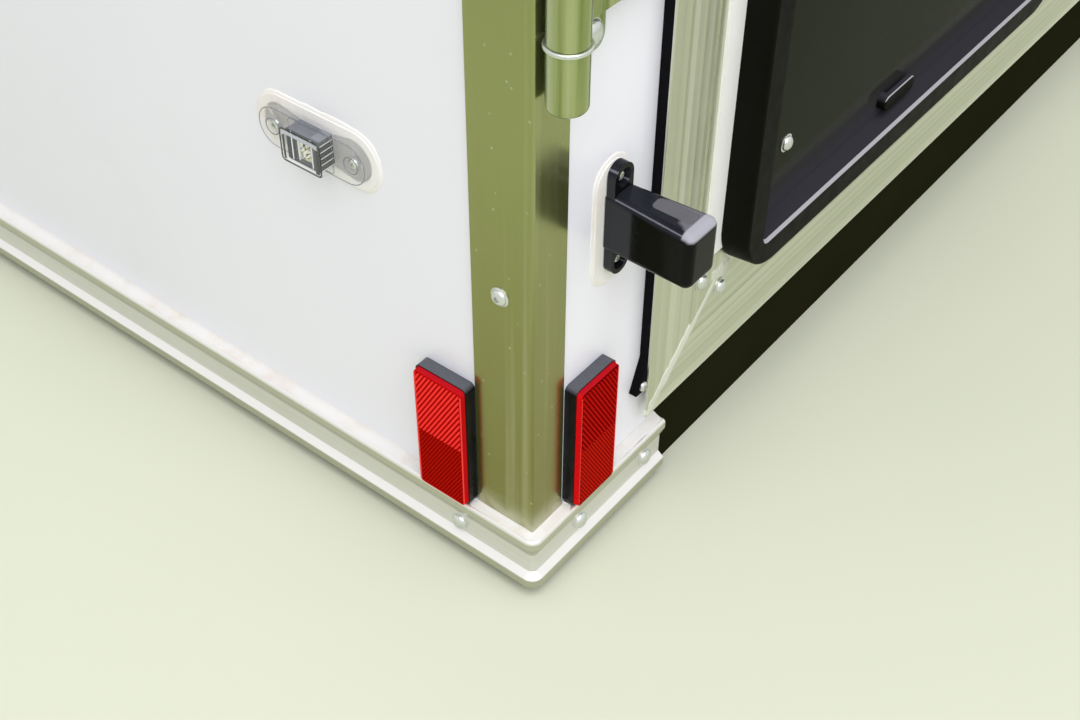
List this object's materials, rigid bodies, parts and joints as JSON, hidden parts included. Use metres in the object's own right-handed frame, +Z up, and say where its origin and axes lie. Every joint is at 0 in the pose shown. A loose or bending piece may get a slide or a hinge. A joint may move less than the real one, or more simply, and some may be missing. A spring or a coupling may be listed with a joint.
{
  "type": "enclosed trailer body rear corner",
  "caption": "Lower rear corner of an enclosed trailer body with post, base rails, reflectors, marker lamps and a hinged rear door with a window.",
  "frame": {"origin": "middle of the bounding box at its foot, the chassis underside that stands on the floor", "axes": "+Z up, +X out of the end wall and the rear door, -Y out of the side wall"},
  "size_m": [0.66, 0.9816, 0.504],
  "materials": {
    "wall_skin": "smooth cool white glass-fibre skin",
    "polished_aluminium": "polished, nearly a mirror",
    "rail_aluminium": "bright satin extrusion",
    "fluted_aluminium": "satin extrusion with fine flutes",
    "floor_board": "film-faced birch plywood",
    "black_steel": "black paint, semi-gloss",
    "zinc_steel": "bright zinc plating",
    "window_black": "satin black moulding",
    "window_glass": "dark tinted acrylic",
    "white_plastic": "white moulding",
    "lamp_black": "glossy black moulding",
    "clear_lens": "clear moulded lens",
    "red_lens": "red prismatic lens",
    "sealant": "cream sealant pad",
    "rubber_black": "black rubber"
  },
  "bodies": {
    "root": {"side_panel": "wall_skin", "end_panel": "wall_skin", "floor_panel": "floor_board", "corner_post": "polished_aluminium", "inner_corner_trim": "rail_aluminium", "side_rail": "rail_aluminium", "end_rail": "rail_aluminium", "end_beam": "black_steel", "side_beam": "black_steel", "cross_member": "black_steel", "side_reflector_base": "lamp_black", "side_reflector_lens": "red_lens", "end_reflector_base": "lamp_black", "end_reflector_lens": "red_lens", "side_marker_pad": "sealant", "side_marker_core": "lamp_black", "side_marker_lens": "clear_lens", "outline_lamp_pad": "sealant", "outline_lamp_body": "lamp_black", "outline_lamp_top_lens": "clear_lens", "outline_lamp_red_lens": "red_lens", "hinge_leaf": "zinc_steel", "hinge_pin": "zinc_steel", "hinge_washer": "zinc_steel", "door_seal": "rubber_black", "seal_end_block": "rubber_black", "sill_seal": "rubber_black"},
    "rear_door": {"door_panel": "wall_skin", "door_left_stile": "fluted_aluminium", "door_bottom_rail": "fluted_aluminium", "door_right_stile": "fluted_aluminium", "window_mounting_frame": "white_plastic", "window_frame": "window_black", "window_pane": "window_glass", "window_inner_trim": "white_plastic", "window_catch": "window_black", "hinge_strap": "zinc_steel"}
  },
  "joints": [
    {"name": "rear_door_hinge", "type": "hinge", "parent": "root", "child": "rear_door", "pos_m": [0.2855, -0.46855, 0.408], "axis": [0, 0, -1], "range_deg": [0, 220]}
  ]
}
